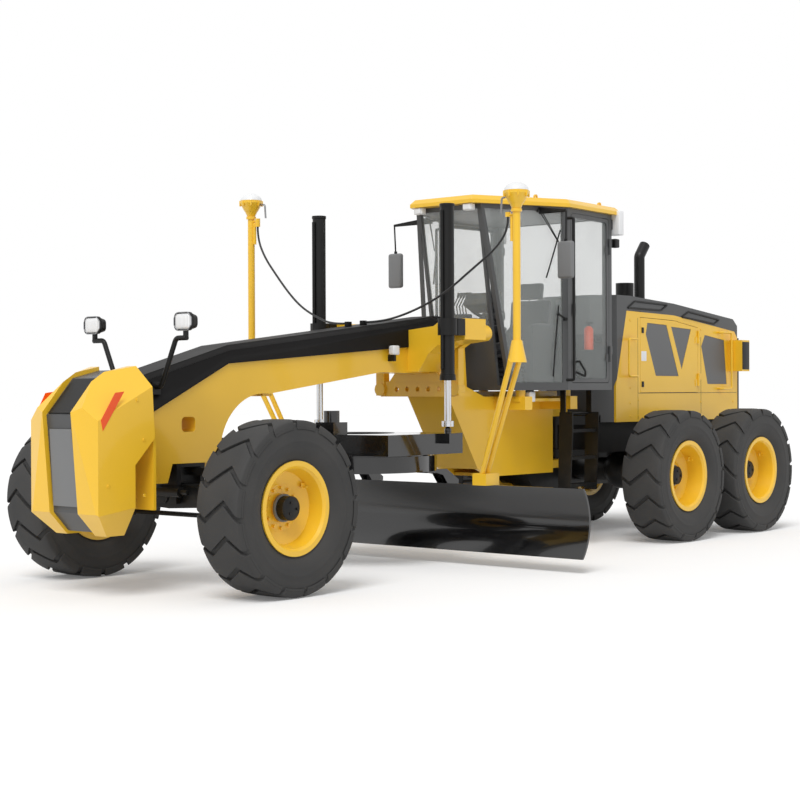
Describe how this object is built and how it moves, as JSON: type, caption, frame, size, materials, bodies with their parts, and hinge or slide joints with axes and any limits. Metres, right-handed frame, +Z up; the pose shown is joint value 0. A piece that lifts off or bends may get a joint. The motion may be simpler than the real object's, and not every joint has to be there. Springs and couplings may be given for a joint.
{
  "type": "motor grader",
  "caption": "Articulated motor grader with a long curved blade under a gooseneck frame, tandem rear wheels, an enclosed cab and blade-mounted positioning masts.",
  "frame": {"origin": "on the ground, midway along the length and on the middle plane", "axes": "+X forward, +Y to the left, +Z up"},
  "size_m": [9.56, 4.27, 3.48],
  "materials": {
    "black_paint": "satin",
    "blade_enamel": "gloss",
    "bright_steel": "brushed",
    "cable_rubber": "matte",
    "chrome_rod": "polished",
    "clear_glass": "clear",
    "console_plastic": "matte",
    "engine_paint": "satin",
    "grey_paint": "satin",
    "seat_cover": "woven",
    "tyre_rubber": "matte",
    "yellow_paint": "gloss"
  },
  "bodies": {
    "rear_frame": {"rear_frame": "black_paint", "tandem_axle": "black_paint", "engine_block": "engine_paint", "hood_sides": "yellow_paint", "hood_cover": "grey_paint", "radiator_grille": "black_paint", "exhaust_stack": "black_paint", "rear_lamps": "yellow_paint"},
    "hood_door_left": {"hood_door_left": "yellow_paint"},
    "hood_door_right": {"hood_door_right": "yellow_paint"},
    "front_frame": {"front_frame": "yellow_paint", "beam_cladding": "black_paint", "push_block": "yellow_paint", "push_block_centre": "black_paint", "headlamps": "black_paint", "saddle": "yellow_paint", "front_axle": "yellow_paint", "cab_frame": "grey_paint", "cab_roof": "yellow_paint", "cab_glass": "clear_glass", "seat": "seat_cover", "console": "console_plastic", "mirrors": "black_paint", "cab_steps": "black_paint", "mast_cable_left": "cable_rubber", "mast_cable_right": "cable_rubber"},
    "cab_door_left": {"cab_door_left": "grey_paint", "cab_door_glass_left": "clear_glass"},
    "cab_door_right": {"cab_door_right": "grey_paint", "cab_door_glass_right": "clear_glass"},
    "lean_left": {"lean_bracket_left": "black_paint"},
    "lean_right": {"lean_bracket_right": "black_paint"},
    "lean_bar": {"lean_bar": "black_paint"},
    "knuckle_left": {"knuckle_left": "black_paint"},
    "knuckle_right": {"knuckle_right": "black_paint"},
    "tie_rod_end": {"tie_rod_end": "bright_steel"},
    "tie_rod": {"tie_rod": "black_paint"},
    "drawbar_ball": {"drawbar_ball": "bright_steel"},
    "drawbar": {"drawbar": "black_paint"},
    "circle": {"circle": "black_paint"},
    "blade_cradle": {"blade_cradle": "black_paint"},
    "blade": {"moldboard": "blade_enamel", "blade_masts": "yellow_paint"},
    "lift_cylinder_left": {"lift_cylinder_left": "black_paint"},
    "lift_cylinder_right": {"lift_cylinder_right": "black_paint"},
    "lift_rod_left": {"lift_rod_left": "chrome_rod"},
    "lift_rod_right": {"lift_rod_right": "chrome_rod"},
    "wheel_front_left": {"tyre_front_left": "tyre_rubber", "rim_front_left": "yellow_paint"},
    "wheel_front_right": {"tyre_front_right": "tyre_rubber", "rim_front_right": "yellow_paint"},
    "wheel_middle_left": {"tyre_middle_left": "tyre_rubber", "rim_middle_left": "yellow_paint"},
    "wheel_middle_right": {"tyre_middle_right": "tyre_rubber", "rim_middle_right": "yellow_paint"},
    "wheel_rear_left": {"tyre_rear_left": "tyre_rubber", "rim_rear_left": "yellow_paint"},
    "wheel_rear_right": {"tyre_rear_right": "tyre_rubber", "rim_rear_right": "yellow_paint"}
  },
  "joints": [
    {"name": "articulation", "type": "hinge", "parent": "rear_frame", "child": "front_frame", "pos_m": [-1.73, 0, 1.06], "axis": [0, 0, -1], "range_deg": [-25, 25]},
    {"name": "cab_door_left_turn", "type": "hinge", "parent": "front_frame", "child": "cab_door_left", "pos_m": [-1.6383, 0.7489, 2.4], "axis": [0, 0, 1], "range_deg": [0, 80]},
    {"name": "cab_door_right_turn", "type": "hinge", "parent": "front_frame", "child": "cab_door_right", "pos_m": [-1.6383, -0.7489, 2.4], "axis": [0, 0, -1], "range_deg": [0, 80]},
    {"name": "hood_door_left_turn", "type": "hinge", "parent": "rear_frame", "child": "hood_door_left", "pos_m": [-3.8225, 0.511, 1.9], "axis": [0, 0, 1], "range_deg": [0, 75]},
    {"name": "hood_door_right_turn", "type": "hinge", "parent": "rear_frame", "child": "hood_door_right", "pos_m": [-3.8225, -0.511, 1.9], "axis": [0, 0, -1], "range_deg": [0, 75]},
    {"name": "lean", "type": "hinge", "parent": "front_frame", "child": "lean_left", "pos_m": [3.57, 0.64, 0.71], "axis": [1, 0, 0], "range_deg": [-18, 18]},
    {"name": "lean_right_turn", "type": "hinge", "parent": "front_frame", "child": "lean_right", "pos_m": [3.57, -0.64, 0.71], "axis": [1, 0, 0], "range_deg": [-18, 18]},
    {"name": "lean_bar_turn", "type": "hinge", "parent": "lean_left", "child": "lean_bar", "pos_m": [3.57, 0.64, 0.92], "axis": [1, 0, 0], "range_deg": [-18, 18]},
    {"name": "steering", "type": "hinge", "parent": "lean_left", "child": "knuckle_left", "pos_m": [3.57, 0.86, 0.71], "axis": [0, 0, 1], "range_deg": [-45, 45]},
    {"name": "steering_right_turn", "type": "hinge", "parent": "lean_right", "child": "knuckle_right", "pos_m": [3.57, -0.86, 0.71], "axis": [0, 0, 1], "range_deg": [-45, 45]},
    {"name": "tie_rod_end_turn", "type": "hinge", "parent": "knuckle_left", "child": "tie_rod_end", "pos_m": [3.34, 0.8, 0.55], "axis": [0, 0, 1], "range_deg": [-45, 45]},
    {"name": "tie_rod_turn", "type": "hinge", "parent": "tie_rod_end", "child": "tie_rod", "pos_m": [3.34, 0.8, 0.55], "axis": [1, 0, 0], "range_deg": [-16, 16]},
    {"name": "drawbar_swing", "type": "hinge", "parent": "front_frame", "child": "drawbar_ball", "pos_m": [3.25, 0, 1.02], "axis": [0, 0, -1], "range_deg": [-6, 6]},
    {"name": "drawbar_lift", "type": "hinge", "parent": "drawbar_ball", "child": "drawbar", "pos_m": [3.25, 0, 1.02], "axis": [0, 1, 0], "range_deg": [-12, 6]},
    {"name": "circle_turn", "type": "hinge", "parent": "drawbar", "child": "circle", "pos_m": [1.45, 0, 0.915], "axis": [0, 0, 1], "range_deg": [-50, 50], "deforming": ["mast_cable_left", "mast_cable_right"]},
    {"name": "blade_tilt", "type": "hinge", "parent": "circle", "child": "blade_cradle", "pos_m": [0.654, 0, 0.33], "axis": [0, 1, 0], "range_deg": [-10, 30]},
    {"name": "blade_shift", "type": "slide", "parent": "blade_cradle", "child": "blade", "axis": [0, 1, 0], "range_m": [-0.35, 0.35]},
    {"name": "lift_left_roll", "type": "hinge", "parent": "front_frame", "child": "lift_cylinder_left", "pos_m": [0.92, 0.781, 2.13], "axis": [1, 0, 0], "range_deg": [-14.52, 14.52]},
    {"name": "lift_left_slide", "type": "slide", "parent": "lift_cylinder_left", "child": "lift_rod_left", "axis": [0, 0, 1], "range_m": [-0.4701, 0.2401]},
    {"name": "lift_right_roll", "type": "hinge", "parent": "front_frame", "child": "lift_cylinder_right", "pos_m": [0.92, -0.781, 2.13], "axis": [1, 0, 0], "range_deg": [-14.52, 14.52]},
    {"name": "lift_right_slide", "type": "slide", "parent": "lift_cylinder_right", "child": "lift_rod_right", "axis": [0, 0, 1], "range_m": [-0.4701, 0.2401]},
    {"name": "wheel_front_left_spin", "type": "hinge", "parent": "knuckle_left", "child": "wheel_front_left", "pos_m": [3.57, 1.152, 0.675], "axis": [0, 1, 0], "continuous": true},
    {"name": "wheel_front_right_spin", "type": "hinge", "parent": "knuckle_right", "child": "wheel_front_right", "pos_m": [3.57, -1.152, 0.675], "axis": [0, 1, 0], "continuous": true},
    {"name": "wheel_middle_left_spin", "type": "hinge", "parent": "rear_frame", "child": "wheel_middle_left", "pos_m": [-2.26, 1.122, 0.675], "axis": [0, 1, 0], "continuous": true},
    {"name": "wheel_middle_right_spin", "type": "hinge", "parent": "rear_frame", "child": "wheel_middle_right", "pos_m": [-2.26, -1.122, 0.675], "axis": [0, 1, 0], "continuous": true},
    {"name": "wheel_rear_left_spin", "type": "hinge", "parent": "rear_frame", "child": "wheel_rear_left", "pos_m": [-3.8, 1.122, 0.675], "axis": [0, 1, 0], "continuous": true},
    {"name": "wheel_rear_right_spin", "type": "hinge", "parent": "rear_frame", "child": "wheel_rear_right", "pos_m": [-3.8, -1.122, 0.675], "axis": [0, 1, 0], "continuous": true}
  ],
  "couplings": [
    {"joint": "lean_right_turn", "follows": "lean", "ratio": 1},
    {"joint": "lean_bar_turn", "follows": "lean", "ratio": -1},
    {"joint": "steering_right_turn", "follows": "steering", "ratio": 1},
    {"joint": "tie_rod_end_turn", "follows": "steering", "ratio": -1},
    {"joint": "tie_rod_turn", "follows": "lean", "ratio": -0.803},
    {"joint": "lift_left_roll", "follows": "drawbar_swing", "ratio": 2.4114},
    {"joint": "lift_left_slide", "follows": "drawbar_lift", "m_per_rad": 2.197},
    {"joint": "lift_right_roll", "follows": "drawbar_swing", "ratio": 2.4114},
    {"joint": "lift_right_slide", "follows": "drawbar_lift", "m_per_rad": 2.197}
  ]
}
